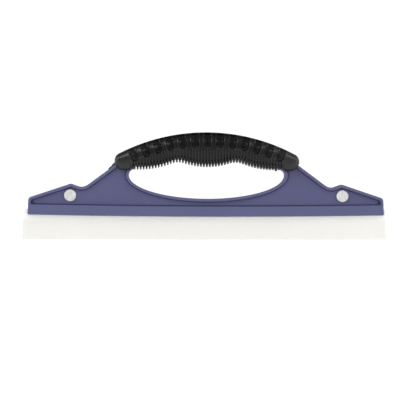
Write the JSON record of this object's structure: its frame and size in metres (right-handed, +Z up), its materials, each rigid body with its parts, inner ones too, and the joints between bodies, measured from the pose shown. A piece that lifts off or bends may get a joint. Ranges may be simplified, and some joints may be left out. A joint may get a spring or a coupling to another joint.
{
  "type": "squeegee applicator",
  "caption": "Hand squeegee applicator with a wide soft wiping blade clamped under a low bow-shaped frame, and a ribbed rubber grip over its hand opening.",
  "frame": {"origin": "middle of the wiping edge, at the bottom centre of the object's box", "axes": "+X along the blade, front face towards -Y, +Z up from the wiping edge to the grip"},
  "size_m": [0.3212, 0.026, 0.0945],
  "materials": {
    "frame_plastic": "satin moulded slate blue",
    "grip_rubber": "matte black with fine ribs",
    "blade_silicone": "smooth milky white, slightly translucent",
    "post_metal": "scuffed nickel plate"
  },
  "bodies": {
    "frame": {"front_frame_shell": "frame_plastic", "rear_frame_shell": "frame_plastic", "front_grip": "grip_rubber", "rear_grip": "grip_rubber", "blade_root": "blade_silicone", "left_binding_post": "post_metal", "right_binding_post": "post_metal", "left_clamp_screw": "post_metal", "right_clamp_screw": "post_metal"},
    "lip": {"blade_lip": "blade_silicone"}
  },
  "joints": [
    {"name": "blade_flex", "type": "hinge", "parent": "frame", "child": "lip", "pos_m": [0, 0, 0.0183], "axis": [1, 0, 0], "range_deg": [-35, 35], "stiffness_Nm_per_rad": 0.6}
  ]
}
